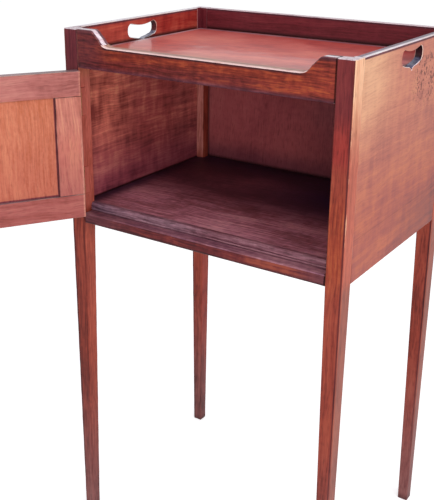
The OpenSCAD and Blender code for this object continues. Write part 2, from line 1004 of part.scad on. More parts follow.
hinge_door_leaf(hinge_z_low);  // hinge_door_leaf_bottom
hinge_pin(hinge_z_high);  // hinge_pin_top
hinge_pin(hinge_z_low);  // hinge_pin_bottom
leg_leaf_screws();
door_leaf_screws();
knob_rose();
rose_pins();
knob();
catch_spindle();
catch_arm();
catch_nut();
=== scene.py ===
import json
from math import cos, pi, radians, sin

import bmesh
import bpy
import numpy as np
from mathutils import Matrix, Vector


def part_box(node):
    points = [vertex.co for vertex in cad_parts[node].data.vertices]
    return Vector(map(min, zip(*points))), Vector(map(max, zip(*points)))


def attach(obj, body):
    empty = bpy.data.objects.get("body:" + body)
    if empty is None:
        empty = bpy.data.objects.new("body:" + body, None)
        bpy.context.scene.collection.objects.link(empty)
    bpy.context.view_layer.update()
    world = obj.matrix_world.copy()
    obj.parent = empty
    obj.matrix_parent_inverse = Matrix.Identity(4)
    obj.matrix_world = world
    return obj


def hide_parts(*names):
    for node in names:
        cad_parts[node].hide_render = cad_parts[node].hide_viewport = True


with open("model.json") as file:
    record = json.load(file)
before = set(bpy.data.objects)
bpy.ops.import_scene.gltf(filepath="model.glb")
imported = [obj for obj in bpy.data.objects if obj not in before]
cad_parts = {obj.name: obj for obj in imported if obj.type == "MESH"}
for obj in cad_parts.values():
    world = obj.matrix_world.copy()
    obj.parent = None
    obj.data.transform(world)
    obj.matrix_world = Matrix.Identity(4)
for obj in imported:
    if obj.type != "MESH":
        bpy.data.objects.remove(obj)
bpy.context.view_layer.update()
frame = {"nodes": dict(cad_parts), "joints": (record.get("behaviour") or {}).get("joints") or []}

# ---- Legs ----------------------------------------------------------------------
# Four mahogany legs, square beside the cupboard and tapered on the two inner faces below it.
# Planed by hand, stained dark red and french polished. Their arrises are rubbed and slightly
# uneven, with painted highlight on the outer ones, the fronts have stayed dark, and sun
# bleaching with painted sheen has paled the outer faces, most at the top.


def linear(hex_colour):
    """An sRGB hex colour in linear light: c / 12.92 up to 0.04045, else ((c + 0.055) / 1.055) ^ 2.4."""
    c = np.array([int(hex_colour[i:i + 2], 16) for i in (1, 3, 5)]) / 255
    return (*np.where(c <= 0.04045, c / 12.92, ((c + 0.055) / 1.055) ** 2.4), 1.0)


def add(tree, kind, sockets=None, **settings):
    """Adds a shader node. settings set its options, and sockets its inputs, each by a value, by another
    node's output, or by another node, which stands for its first output."""
    new = tree.nodes.new("ShaderNode" + kind)
    for option, value in settings.items():
        setattr(new, option, value)
    for socket, value in (sockets or {}).items():
        if isinstance(value, bpy.types.Node):
            value = value.outputs[0]
        if isinstance(value, bpy.types.NodeSocket):
            tree.links.new(value, new.inputs[socket])
        else:
            new.inputs[socket].default_value = value
    return new


def mahogany(name, grain, pith, tones, zones=(), seams=(), dents=(), lean=0.03, ring=0.008,
             weights=(0.6, 0.4, 0.3, 0.4), pores=0.25, mottle_step=(0.012, 0.008), coat=0.2,
             coat_roughness=0.15, roughness=(0.4, 0.5), specular=0.15, wave=0.0003, worn="#c98a6a",
             rub_and_highlight_share=0.5, rub_and_highlight_where=(), turned=None):
    """French-polished mahogany: a solid pattern, so that the grain runs on round every corner.
    grain is the axis that the grain follows, and pith the two other coordinates of the tree's heart. The tone
    is the sum of growth rings (noise on the distance from the heart), fine streaks, cross-grain mottle and
    wide blotches, times weights. tones are the dark, middle and pale colours. A range (axis, start, end) goes
    from 0 to 1, and its axis is X, Y, Z, |X|, or how far the face looks up or right. Each zone lays other
    tones where its ranges all reach 1, and many zones carry painted light and shade. seams darken the wood
    beside planes (axis, place, width, share, ranges), with old polish at joints and painted shade in inner
    corners, dents are ranges with small dark bruises, and rub_and_highlight_where ranges hold the rubbed
    arrises, whose worn colour is a painted highlight where it is near white. turned, a location and a
    rotation, turns the pattern to where the piece is."""
    material = bpy.data.materials.new(name)
    material.use_nodes = True
    tree = material.node_tree
    tree.nodes.clear()
    place = add(tree, "TexCoord").outputs["Object"]
    if turned:
        place = add(tree, "Mapping", {"Vector": place, "Location": turned[0], "Rotation": turned[1]})
    axes = add(tree, "SeparateXYZ", {0: place})
    ruler = {axis: axes.outputs[axis] for axis in "XYZ"}
    ruler["|X|"] = add(tree, "Math", {0: ruler["X"]}, operation="ABSOLUTE")
    # How far a face looks up or to the right, from 0 to 1, as the mesh says
    for word in ("up", "right"):
        ruler[word] = add(tree, "Attribute", attribute_name=word + "ward").outputs["Fac"]

    # The grain wavers by about 5 mm over 80 mm
    waver = add(tree, "TexNoise", {"Vector": place, "Scale": 12.0, "Detail": 1.0}).outputs["Color"]
    wavy = add(tree, "VectorMath", {0: waver, 1: (0.010, 0.010, 0.010), 2: place}, operation="MULTIPLY_ADD")
    wavy_axes = add(tree, "SeparateXYZ", {0: wavy})
    across = [wavy_axes.outputs[axis] for axis in "XYZ" if axis != grain]
    along = wavy_axes.outputs[grain]
    leaning = add(tree, "Math", {0: along, 1: -lean, 2: across[0]}, operation="MULTIPLY_ADD")
    fibre = add(tree, "CombineXYZ", {0: leaning, 1: across[1], 2: along})
    fibre = add(tree, "VectorMath", {0: fibre, 1: (*pith, 0.0)}, operation="SUBTRACT")
    flat = add(tree, "VectorMath", {0: fibre, 1: (1.0, 1.0, 0.0)}, operation="MULTIPLY")
    radius = add(tree, "VectorMath", {0: flat}, operation="LENGTH").outputs["Value"]
    parts = add(tree, "SeparateXYZ", {0: fibre})
    rings = add(tree, "CombineXYZ", {0: radius, 1: parts.outputs[1], 2: parts.outputs[2]})

    # Steps in metres: growth rings 8 mm wide and mottle 8 mm along the grain, unless a wood sets others,
    # streaks 2.4 mm, blotches 90 mm. Real pores are 0.2 mm wide. They are drawn 1.2 mm wide and 11 mm
    # long, so that they show.
    noises = []
    for base, step, detail in ((rings, (ring, 0.09, 0.30), 3.0),
                               (fibre, (0.0024, 0.0024, 0.05), 2.0),
                               (fibre, (mottle_step[0], mottle_step[0], mottle_step[1]), 2.0),
                               (fibre, (0.09, 0.09, 0.14), 2.0),
                               (fibre, (0.0012, 0.0012, 0.011), 0.0)):
        spot = add(tree, "VectorMath", {0: base, 1: tuple(1 / s for s in step)}, operation="MULTIPLY")
        noises.append(add(tree, "TexNoise", {"Vector": spot, "Scale": 1.0, "Detail": detail,
                                             "Roughness": 0.6}))
    streaks, pore = noises[1], noises[4]
    tone = 0.5 - 0.5 * sum(weights)
    for noise, weight in zip(noises, weights):
        tone = add(tree, "Math", {0: noise, 1: weight, 2: tone}, operation="MULTIPLY_ADD")

    def reach_of(ranges, reach=1.0):
        """The product of reach and of a smooth step from start to end along each range."""
        for axis, start, end in ranges:
            span = add(tree, "MapRange", {"Value": ruler[axis], "From Min": start, "From Max": end},
                       interpolation_type="SMOOTHSTEP")
            reach = add(tree, "Math", {0: span, 1: reach}, operation="MULTIPLY")
        return reach

    # Each layer is (share, colour), and covers that share of the ones before it
    layers = []
    for ranges, hexes in (((), tones), *zones):
        ramp = add(tree, "ValToRGB", {0: tone})
        stops = ramp.color_ramp.elements
        stops.new(0.5)
        for stop, position, hex_colour in zip(stops, (0.25, 0.5, 0.75), hexes):
            stop.position = position
            stop.color = linear(hex_colour)
        layers.append((reach_of(ranges), ramp))
    # Dark flecks of the open pores
    fleck = add(tree, "MapRange", {"Value": pore, "From Min": 0.58, "From Max": 0.72, "To Max": pores})
    layers.append((fleck, linear("#2a0c0c")))
    # Bruises 1 to 3 mm wide
    for ranges in dents:
        pits = add(tree, "TexNoise", {"Vector": place, "Scale": 240.0, "Detail": 2.0})
        pits = add(tree, "MapRange", {"Value": pits, "From Min": 0.55, "From Max": 0.62, "To Max": 0.75})
        layers.append((reach_of(ranges, pits), linear("#4a2020")))
    # Rubbed arrises: the mesh says where an arris is, and a 33 mm noise where the polish has gone. The worn
    # colour is pale wood, and where it is near white it is a painted highlight
    arris = add(tree, "Attribute", attribute_name="arris").outputs["Fac"]
    rub_and_highlight = add(tree, "TexNoise", {"Vector": place, "Scale": 30.0, "Detail": 4.0})
    rub_and_highlight = add(tree, "MapRange", {"Value": rub_and_highlight, "From Min": 0.62 - rub_and_highlight_share * 0.3,
                                 "From Max": 0.72 - rub_and_highlight_share * 0.3})
    rub_and_highlight = add(tree, "Math", {0: rub_and_highlight, 1: arris}, operation="MULTIPLY")
    layers.append((reach_of(rub_and_highlight_where, rub_and_highlight), linear(worn)))
    # Old polish and dust at the joints beside the seams, and painted shade where the seams are inner corners
    for axis, plane, width, share, *where in seams:
        gap = add(tree, "Math", {0: ruler[axis], 1: plane}, operation="SUBTRACT")
        gap = add(tree, "Math", {0: gap}, operation="ABSOLUTE")
        joint_grime_and_corner_shade = add(tree, "MapRange", {"Value": gap, "From Min": width, "From Max": width * 0.15,
                                       "To Max": share})
        layers.append((reach_of(where, joint_grime_and_corner_shade), linear("#1c0a0c")))
    colour = layers[0][1]
    for share, over in layers[1:]:
        colour = add(tree, "Mix", {0: share, 6: colour, 7: over}, data_type="RGBA").outputs[2]

    # Streaks and pores dent the wood by up to 0.1 mm, and the film over them has waves of 36 mm
    pitted = add(tree, "Math", {0: fleck, 1: -1.0, 2: streaks}, operation="MULTIPLY_ADD")
    relief = add(tree, "Bump", {"Height": pitted, "Distance": 0.0002, "Strength": 0.42})
    swell = add(tree, "TexNoise", {"Vector": place, "Scale": 28.0, "Detail": 1.0})
    film = add(tree, "Bump", {"Height": swell, "Distance": wave, "Strength": 1.0})
    dull = add(tree, "MapRange", {"Value": tone, "To Min": roughness[0], "To Max": roughness[1]})
    surface = add(tree, "BsdfPrincipled", {
        "Base Color": colour, "Roughness": dull, "Specular IOR Level": specular, "IOR": 1.5, "Normal": relief,
        "Coat Weight": coat, "Coat Roughness": coat_roughness, "Coat IOR": 1.5, "Coat Normal": film})
    add(tree, "OutputMaterial", {0: surface})
    return material


def worn_copy(node, arris, along, rim=()):
    """A finished copy of a CAD node. Doubled corners are merged and flat facets joined, and the piece is cut
    every 9 mm, square to the axis along. Its long arrises, with the edges in each plane of rim (axis, place,
    least z), are rounded to the radius arris. The middle line of each rounding sinks by
    arris * 0.35 * (1 + s) / 2, where s is the product of two sines of 37 and 23 mm along (1, 1, 1) and
    (1, -2, 1). Each face also carries how far it looks up and to the right."""
    step, short, deepest = 0.009, 0.009, 0.35
    mesh = bmesh.new()
    mesh.from_mesh(frame["nodes"][node].data)
    bmesh.ops.remove_doubles(mesh, verts=mesh.verts, dist=2e-6)
    bmesh.ops.dissolve_limit(mesh, angle_limit=radians(0.5), verts=mesh.verts, edges=mesh.edges)
    marks = mesh.edges.layers.float.new("rounded")
    ridge = mesh.verts.layers.float.new("arris")
    for edge in mesh.edges:
        if edge.is_manifold and edge.is_convex and edge.calc_face_angle() > radians(25):
            in_rim = any(all(abs(v.co[axis] - place) < 2e-5 and v.co.z > low for v in edge.verts)
                         for axis, place, low in rim)
            if in_rim or edge.calc_length() > short:
                edge[marks] = 1.0
    direction = Vector([float(axis == along) for axis in "XYZ"])
    reach = [v.co @ direction for v in mesh.verts]
    for cut in np.arange(min(reach) + step / 2, max(reach), step):
        bmesh.ops.bisect_plane(mesh, geom=mesh.verts[:] + mesh.edges[:] + mesh.faces[:], dist=1e-6,
                               plane_co=direction * cut, plane_no=direction)
    chosen = [edge for edge in mesh.edges if edge[marks] > 0.5]
    made = bmesh.ops.bevel(mesh, geom=chosen, offset=arris, offset_type="OFFSET", segments=2, profile=0.5,
                           affect="EDGES", clamp_overlap=False)
    rounding = set(made["faces"])
    for vertex in made["verts"]:
        if all(face in rounding for face in vertex.link_faces):
            vertex[ridge] = 1.0
    for edge in mesh.edges:
        edge.smooth = edge.calc_face_angle(0.0) < radians(50)
    for face in mesh.faces:
        face.smooth = True
    data = bpy.data.meshes.new(node + "_finished")
    mesh.to_mesh(data)
    mesh.free()

    count = len(data.vertices)
    points, normals, on_ridge = np.empty(count * 3), np.empty(count * 3), np.empty(count)
    data.vertices.foreach_get("co", points)
    data.vertices.foreach_get("normal", normals)
    data.attributes["arris"].data.foreach_get("value", on_ridge)
    points, normals = points.reshape(-1, 3), normals.reshape(-1, 3)
    sines = np.sin(points @ (1, 1, 1) * 2 * pi / 0.037) * np.sin(points @ (1, -2, 1) * 2 * pi / 0.023)
    points -= normals * (arris * deepest * (1 + sines) / 2 * on_ridge)[:, None]
    data.vertices.foreach_set("co", points.ravel())
    data.update()
    facing = np.empty(len(data.polygons) * 3)
    data.polygons.foreach_get("normal", facing)
    for word, part in (("up", 2), ("right", 0)):
        share = data.attributes.new(word + "ward", "FLOAT", "FACE")
        share.data.foreach_set("value", np.clip(facing[part::3], 0, 1))
    return data


def fit(data, node, body, material):
    """Puts a finished mesh in place of a CAD node, riding on that body."""
    piece = bpy.data.objects.new(node + "_finished", data)
    bpy.context.scene.collection.objects.link(piece)
    piece.data.materials.append(material)
    flatness = piece.modifiers.new("flat faces stay flat", "WEIGHTED_NORMAL")
    flatness.weight = 100
    flatness.keep_sharp = True
    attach(piece, body)
    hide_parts(node)


leg_low, leg_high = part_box("leg_front_right")
leg_in, leg_out, front, leg_back, top = leg_low.x, leg_high.x, leg_low.y, leg_high.y, leg_high.z
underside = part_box("side_board_right")[0].z
face_up, face_right = ("up", 0.2, 0.7), ("right", 0.5, 0.8)
behind_front = ("Y", front + 0.0003, front + 0.0013)
front_legs, back_legs = ("Y", -0.05, -0.10), ("Y", 0.05, 0.10)
below, in_cupboard = ("Z", underside + 0.010, underside), ("Z", underside, underside + 0.010)
leg_outer_face = ("|X|", leg_out - 0.0014, leg_out - 0.0002)
leg_inner_face = ("|X|", leg_in + 0.0008, leg_in + 0.0002)
# Near white tones for faces that look up: a painted sky highlight
painted_sky_highlight_tops = ("#a88a90", "#d4bcc4", "#f0e2ea")
leg_zones = [
    # Redder from the middle of the door up, then dark to the tops, most of all on the left
    ([("Z", 0.600, 0.625), front_legs], ("#6a1c18", "#92302a", "#a43e34")),
    ([("Z", 0.635, 0.680)], ("#461419", "#6b2428", "#7c3030")),
    ([("Z", 0.58, 0.72), ("X", -0.17, -0.18)], ("#3a1016", "#5e1c26", "#6e2830")),
    # Orange beside the lower half of the door, and painted purple shade in the corners of the tray
    ([("Z", 0.44, 0.50), ("Z", 0.60, 0.55), front_legs], ("#641c14", "#943a26", "#b45834")),
    ([("Y", 0.110, 0.1290), ("Y", 0.1325, 0.1312), ("Z", 0.698, 0.700)], ("#2c1424", "#42243a", "#5a3a50")),
    # Lighter under the cupboard on the sides of the front legs, and painted light on the inner, right-facing
    # faces of the left back one
    ([behind_front, ("Y", 0.0, -0.05), below], ("#863426", "#aa4c38", "#be6248")),
    ([face_right, ("X", 0.0, -0.1), back_legs, below], ("#762820", "#a03d2f", "#b44e3a")),
    # The outer faces, paler most of all at the top from sun bleaching and painted sheen, with a dark line
    # beside their arrises
    ([("|X|", leg_out - 0.0038, leg_out - 0.0024)], ("#3c1216", "#5e2022", "#6c2a26")),
    ([leg_outer_face], ("#9e4e3c", "#b45b48", "#c2654e")),
    ([leg_outer_face, ("Z", underside + 0.010, underside - 0.010)], ("#84463a", "#985446", "#a65e4c")),
    ([leg_outer_face, ("Z", 0.60, 0.72)], ("#cd8c64", "#e3a682", "#ecb892")),
    # The back legs inside the cupboard, and painted light on the front legs' inner faces, palest at the top
    ([("Y", 0.120, 0.128), ("Y", 0.1316, 0.1308), ("Z", underside + 0.010, underside + 0.050)],
     ("#955147", "#b56c64", "#c77f75")),
    ([leg_inner_face, ("Z", underside + 0.010, underside + 0.030), ("Y", -0.120, -0.128), behind_front],
     ("#9c4a3c", "#bc5f52", "#cc7264")),
    ([leg_inner_face, ("Z", 0.662, 0.674), ("Y", -0.120, -0.128), behind_front],
     ("#a84c3c", "#c86450", "#d47c64")),
    # Grey brown towards the feet, and a painted sky highlight on the tops
    ([("Z", 0.30, 0.00)], ("#562e2e", "#7e4846", "#905c58")),
    ([face_up, ("Z", 0.700, 0.710)], painted_sky_highlight_tops)]
# French polish on stained wood: dark red, softly shining, and rubbed to pale wood at the outer arrises, with
# painted cream glints there
leg_wood = mahogany("french polished mahogany legs", "Z", (0.31, 0.06), ("#662219", "#8f392b", "#a24a36"),
                    leg_zones, lean=0.02, weights=(0.8, 0.8, 0.2, 0.8), worn="#ecc09c", rub_and_highlight_share=0.6,
                    rub_and_highlight_where=[("Z", 0.50, 0.56), ("|X|", leg_out - 0.0022, leg_out - 0.0012)],
                    seams=[("|X|", leg_in + 0.0002, 0.0016, 0.6, ("Y", front + 0.0010, front + 0.0004),
                            in_cupboard),
                           ("Z", 0.0, 0.012, 0.5)])
for leg in ("leg_front_left", "leg_front_right", "leg_back_left", "leg_back_right"):
    fit(worn_copy(leg, 0.0010, "Z"), leg, "cupboard", leg_wood)

# ---- Side boards ---------------------------------------------------------------
# Two mahogany boards from the edge of the tray to the underside of the cupboard, tongued into
# the legs. Their outer faces are salmon and cream, most of all at the top, from sun bleaching and
# painted sheen. The inner faces are redder, each board is pierced with a hand-hold, and bruises lie round it.
board_low, board_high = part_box("side_board_right")
side_in, side_out = board_low.x, board_high.x
on_outer_face = ("|X|", side_out - 0.001, side_out - 0.0004)
tray_top, cupboard_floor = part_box("tray_board")[1].z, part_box("floor_board")[1].z
board_inside = ("|X|", side_in + 0.002, side_in)
board_outside = ("|X|", side_in + 0.001, side_in + 0.004)
over_tray = ("Z", tray_top - 0.001, tray_top)
hold_walls = [("|X|", side_in + 0.0004, side_in + 0.0010), ("|X|", side_out - 0.0004, side_out - 0.0010),
              ("Z", top - 0.0015, top - 0.0025)]
side_zones = [
    # The inner faces, with painted light and shade: salmon at the front, redder behind, purple at the foot;
    # and red over the tray
    ([("Z", 0.54, 0.62), ("Y", 0.03, -0.10), board_inside], ("#8c403a", "#dc7866", "#fcb088")),
    ([("Y", -0.05, 0.00), ("Y", 0.09, 0.05), board_inside], ("#743432", "#b05452", "#da8670")),
    ([("Z", 0.580, 0.505), board_inside], ("#602834", "#8c404c", "#aa5a60")),
    ([over_tray], ("#661a16", "#942c26", "#b04c3c")),
    ([over_tray, ("Y", 0.05, -0.05)], ("#802e26", "#b0483c", "#c8644c")),
    # The outer faces: brown red at the foot, and paler upwards and to the front, with painted sheen
    ([board_outside], ("#844648", "#a4574c", "#ba684f")),
    ([board_outside, ("Z", 0.545, 0.500), ("Y", -0.05, 0.08)], ("#764440", "#925048", "#a85c4a")),
    ([board_outside, ("Z", 0.52, 0.70)], ("#aa6658", "#c07863", "#cc886a")),
    ([board_outside, ("Z", 0.60, 0.72), ("Y", 0.0, -0.13)], ("#c48c6a", "#d5a07e", "#e2ae88")),
    # A dark line beside the floor, dark lines under the upper arrises, a painted sky highlight on the tops,
    # less of it on the inner part of the right board's top, and the dark walls of the hand-holds with painted
    # glints on their floors
    ([("Z", cupboard_floor + 0.003, cupboard_floor + 0.001), board_inside],
     ("#2c1016", "#3c181c", "#4c2024")),
    ([("Z", top - 0.0038, top - 0.0026)], ("#4c242c", "#643038", "#7c4448")),
    ([face_up], ("#c8b8c0", "#f0e4ec", "#ffffff")),
    ([face_up, ("X", 0.0, 0.1), ("|X|", side_out - 0.0017, side_out - 0.0050)],
     ("#402a3a", "#70566a", "#94788c")),
    (hold_walls, ("#1c0c12", "#44161c", "#702428")),
    ([*hold_walls, ("up", 0.5, 0.8)], ("#262238", "#6c6a84", "#f4f6ff"))]
# A thin old polish, bleached by the sun, with painted sheen and pale rubbed arrises that carry a painted
# highlight: soft shine, and a mottle of 13 mm that stands across the grain
side_wood = mahogany("sun bleached mahogany boards with painted sheen", "Y", (0.10, 0.30), ("#7c3a3a", "#b85e5a", "#e49074"),
                     side_zones, lean=0.05, weights=(0.6, 0.4, 0.55, 0.85), mottle_step=(0.045, 0.013),
                     pores=0.12, coat=0.15, worn="#f0d8c8", rub_and_highlight_share=0.6,
                     dents=[[("X", side_out - 0.0010, side_out - 0.0005), ("Y", 0.005, 0.035),
                             ("Y", 0.105, 0.075), ("Z", 0.635, 0.665), ("Z", 0.716, 0.704)]],
                     # The seam at the tray lays painted shade in that corner
                     # The last is a thin crack along the outer face, 27 mm over the cupboard's floor
                     seams=[("Y", leg_back, 0.0012, 0.35),
                            ("Z", tray_top, 0.0050, 0.9, board_inside),
                            ("Z", cupboard_floor + 0.027, 0.0010, 0.22, on_outer_face)])
for side, sign in (("left", -1), ("right", 1)):
    board = "side_board_" + side
    rims = [(0, sign * side_out, 0.69), (0, sign * side_in, 0.70)]
    fit(worn_copy(board, 0.0008, "Y", rims), board, "cupboard", side_wood)

# ---- Board behind the tray and back panel --------------------------------------
# The tray's back board is tenoned between the back legs. The thin panel below it closes the
# cupboard, nailed into the rebates of the legs. Both are dark inside, where no sun reached, and
# the panel carries painted shade to the right, towards the floor and in its corners.
back_board_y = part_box("gallery_board_back")[0].y
back_inside = ("Y", back_board_y + 0.0011, back_board_y + 0.0004)
# Polish that has kept its dark red, with rubbed upper arrises that carry a painted highlight, a painted sky
# highlight on top, and painted shade in the corners beside the side boards and the tray
back_wood = mahogany("dark mahogany of the tray's back board", "X", (0.02, 0.60),
                     ("#511a20", "#722a33", "#873d3d"),
                     [([("Z", top - 0.0038, top - 0.0026)], ("#3c1820", "#542430", "#683038")),
                      ([face_up], painted_sky_highlight_tops)],
                     lean=0.01, weights=(0.5, 0.4, 0.2, 0.4), worn="#f0d8dc", rub_and_highlight_share=0.8,
                     rub_and_highlight_where=[("Z", 0.715, 0.725)],
                     seams=[("|X|", side_in, 0.004, 0.6, back_inside),
                            ("Z", tray_top, 0.006, 0.9, back_inside)])
fit(worn_copy("gallery_board_back", 0.0009, "X"), "gallery_board_back", "cupboard",
    back_wood)
panel_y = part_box("back_panel")[0].y
panel_inside = ("Y", panel_y + 0.0020, panel_y + 0.0010)
# A thin old finish: dull, with the grain upright, and painted shade that darkens it to the right, towards the
# floor and in the corners
panel_wood = mahogany("dark mahogany back panel", "Z", (0.05, 0.62), ("#7b353c", "#984a4d", "#a45857"),
                      [([("X", -0.02, 0.15), panel_inside], ("#542535", "#693641", "#754149")),
                       ([("X", 0.02, 0.11), panel_inside], ("#46202e", "#5a2f3a", "#663a42")),
                       ([("Z", 0.535, 0.500), panel_inside], ("#542632", "#70363f", "#80424a"))],
                      lean=0.04, weights=(0.4, 0.2, 0.3, 0.6), coat=0.1, roughness=(0.45, 0.6),
                      seams=[("|X|", leg_in, 0.004, 0.7, panel_inside),
                             ("Z", cupboard_floor, 0.005, 0.8, panel_inside)])
fit(worn_copy("back_panel", 0.0005, "Z"), "back_panel", "cupboard", panel_wood)

# ---- Front rails ---------------------------------------------------------------
# The rail over the door has a fine curled figure and sweeps up to the legs at both ends. The
# rail under the door carries the floor. Both are tenoned into the front legs, and old polish
# darkens the joints.
rail_low, rail_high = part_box("front_top_rail")
# The rail's upper edge is level at rail_level, between the two raised ends
rail_foot, rail_back, rail_level = rail_low.z, rail_high.y, 0.7104
rail_up, horns = ("up", 0.2, 0.6), ("Z", rail_level + 0.0021, rail_level + 0.0031)
rail_zones = [
    # More orange to the right and in the middle of the upper edge, and dark at the left end
    ([("X", 0.04, 0.14)], ("#5c1c14", "#8a3226", "#ac4e2c")),
    ([("Z", rail_foot + 0.011, rail_foot + 0.021), ("|X|", 0.17, 0.13)], ("#5c1a12", "#86301f", "#ac4e2c")),
    ([("X", -0.120, -0.160)], ("#3c1216", "#602226", "#78302c")),
    # Dark upper and lower edges of the front: painted shade under the upper arris and on the raised ends, and
    # darker along the foot
    ([("Z", rail_level - 0.0038, rail_level - 0.0026), ("|X|", 0.145, 0.135)],
     ("#2c1014", "#441a1e", "#542426")),
    ([("Z", top - 0.0065, top - 0.0015)], ("#34141a", "#50222a", "#683236")),
    ([("Z", rail_foot + 0.007, rail_foot + 0.001)], ("#34141c", "#54242e", "#703c46")),
    # The upper side: brown, with painted shade on the raised ends, and painted highlight lines on them and
    # along the front
    ([rail_up], ("#8a5048", "#b07866", "#c8927c")),
    ([rail_up, horns], ("#4c2430", "#6c3a44", "#845058")),
    ([rail_up, horns, ("Y", front + 0.0100, front + 0.0090), ("Y", front + 0.0017, front + 0.0025)],
     ("#d8b8c4", "#f4dce6", "#fff4fa")),
    ([rail_up, ("Z", rail_level + 0.0031, rail_level + 0.0021), ("Y", front + 0.0055, front + 0.0040)],
     ("#dca49c", "#f4c4bc", "#ffe0da"))]
# French polish over a curled figure: short dark and orange ripples, and a pale, rubbed upper arris carrying a
# painted highlight
rail_wood = mahogany("curl figured mahogany rail", "X", (-0.20, 0.66), ("#4c1410", "#702624", "#94402a"),
                     rail_zones, lean=0.04, ring=0.005, weights=(0.8, 0.9, 0.5, 0.35),
                     mottle_step=(0.010, 0.008), pores=0.35, worn="#fce0dc", rub_and_highlight_share=1.0,
                     rub_and_highlight_where=[("Z", rail_level - 0.0044, rail_level - 0.0024),
                                 ("Z", rail_level + 0.0031, rail_level + 0.0016), ("|X|", 0.16, 0.15)],
                     seams=[("|X|", leg_in, 0.0016, 0.6)])
fit(worn_copy("front_top_rail", 0.0011, "X", [(1, front, 0.705), (1, rail_back, 0.705)]), "front_top_rail",
    "cupboard", rail_wood)
lip_low, lip_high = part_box("floor_lip")
# The same polish, purple and paler on top in front of the moulded strip, with painted sheen
low_rail_wood = mahogany("mahogany rail under the door", "X", (-0.10, 0.30),
                         ("#441518", "#6a2628", "#924434"),
                         [([("|X|", 0.13, 0.175)], ("#3c161c", "#5c2830", "#703a40")),
                          ([("Z", underside + 0.0045, underside + 0.0015)],
                           ("#2c1014", "#441c20", "#54262a")),
                          ([("X", -0.07, -0.16)], ("#3c161c", "#5c2830", "#703a40")),
                          ([face_up], ("#62364a", "#946070", "#be8890")),
                          ([face_up, ("X", -0.05, -0.15)], ("#4c2838", "#7a4854", "#9e6e76"))],
                         lean=0.02, weights=(0.6, 0.9, 0.4, 0.8), worn="#7c4a50", rub_and_highlight_share=0.4,
                         # The seam before the moulded strip is painted shade at the foot of its step
                         seams=[("|X|", leg_in, 0.0016, 0.6), ("Y", lip_low.y - 0.0005, 0.0014, 0.35)])
fit(worn_copy("front_bottom_rail", 0.0016, "X"), "front_bottom_rail", "cupboard",
    low_rail_wood)

# ---- Tray ----------------------------------------------------------------------
# One wide mahogany board, polished to a gloss that mirrors the boards round it. Its film has
# small waves, and the wood has faded to salmon.
tray_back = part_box("tray_board")[1].y
tray_zones = [
    # Paler at both ends, redder at the back, and browner along the front
    ([("|X|", 0.130, 0.190)], ("#bc5452", "#da6e6a", "#e8867c")),
    ([("Y", 0.04, 0.11)], ("#ae4040", "#d0564f", "#e0706a")),
    ([("Y", -0.05, -0.115)], ("#86443e", "#a65e50", "#bc765e")),
    # A light line of built-up polish beside the left board and the back board, painted as a highlight
    ([("X", -side_in + 0.0040, -side_in + 0.0050), ("X", -side_in + 0.0090, -side_in + 0.0075)],
     ("#94707c", "#c4a4b0", "#e8d0dc")),
    ([("Y", tray_back - 0.0124, tray_back - 0.0109), ("Y", tray_back - 0.0054, tray_back - 0.0069)],
     ("#8c6474", "#b08494", "#d0a8b4"))]
# A thick polish: the clearest reflections of all, over wide, soft figure
tray_wood = mahogany("glossy mahogany tray", "X", (0.10, 0.40), ("#bc4a46", "#dc6058", "#ec7a6a"),
                     tray_zones, lean=0.05, weights=(0.9, 0.6, 0.4, 1.2), mottle_step=(0.030, 0.020),
                     pores=0.15, coat=0.24, coat_roughness=0.08, specular=0.2, wave=0.0006,
                     roughness=(0.35, 0.45), worn="#d8a090",
                     # Painted shade in the corners beside the side boards, the back board and the rail
                     seams=[("|X|", side_in, 0.0060, 0.85), ("Y", tray_back, 0.0075, 0.85),
                            ("Y", rail_back, 0.0020, 0.6)])
fit(worn_copy("tray_board", 0.0006, "X"), "tray_board", "cupboard", tray_wood)

# ---- Strips and back rail ------------------------------------------------------
# Plain pine strips, screwed to the side boards, carry the tray and the floor, and a pine rail
# under the back of the floor joins the back legs. Sawn and left bare, brown with age and matt.
for grain, strips in (("Y", ("tray_bearer_left", "tray_bearer_right", "floor_bearer_left",
                             "floor_bearer_right")),
                      ("X", ("tray_bearer_front", "back_bottom_rail"))):
    pine = mahogany("aged bare pine along " + grain, grain, (0.05, 0.40), ("#6a4026", "#a0703e", "#c09058"),
                    lean=0.02, ring=0.004, weights=(1.4, 0.3, 0.1, 0.5), pores=0.1, coat=0.0,
                    roughness=(0.7, 0.85), worn="#d0a878", rub_and_highlight_share=0.3)
    for strip in strips:
        fit(worn_copy(strip, 0.0006, grain), strip, "cupboard", pine)

# ---- Cupboard floor ------------------------------------------------------------
# A mahogany floor board, dull from what stood on it, and purple brown, the purple partly a painted sheen.
# Painted shade makes it nearly black at the back. A moulded strip along its front edge stops the door:
# a bead, a groove and a rounded nose, run with a scratch stock.
floor_zones = [
    # Painted shade: darker to the back, nearly black in the right half, and dark purple beside the side
    # boards
    ([("Y", -0.09, 0.03)], ("#4e2836", "#673b4a", "#794957")),
    ([("X", -0.06, 0.10), ("Y", -0.07, 0.06)], ("#160e2a", "#20163a", "#2a1e46")),
    ([("Y", 0.06, 0.13)], ("#241426", "#341e36", "#442844")),
    ([("|X|", 0.160, 0.186)], ("#281424", "#3e2236", "#503046"))]
# Polish worn off by use: a weak, blurred shine and strong dark pores
floor_wood = mahogany("worn mahogany floor", "X", (0.06, 0.36), ("#90565e", "#be7a8c", "#da9aa2"),
                      floor_zones, lean=0.03, weights=(0.8, 1.0, 0.4, 1.2), coat=0.12, coat_roughness=0.3,
                      pores=0.4, roughness=(0.45, 0.6), worn="#a07070",
                      # The seams lay painted shade in the corners beside the side boards and the back panel
                      seams=[("|X|", side_in, 0.0035, 0.85), ("Y", 0.145, 0.006, 0.85)])
fit(worn_copy("floor_board", 0.0006, "X"), "floor_board", "cupboard", floor_wood)


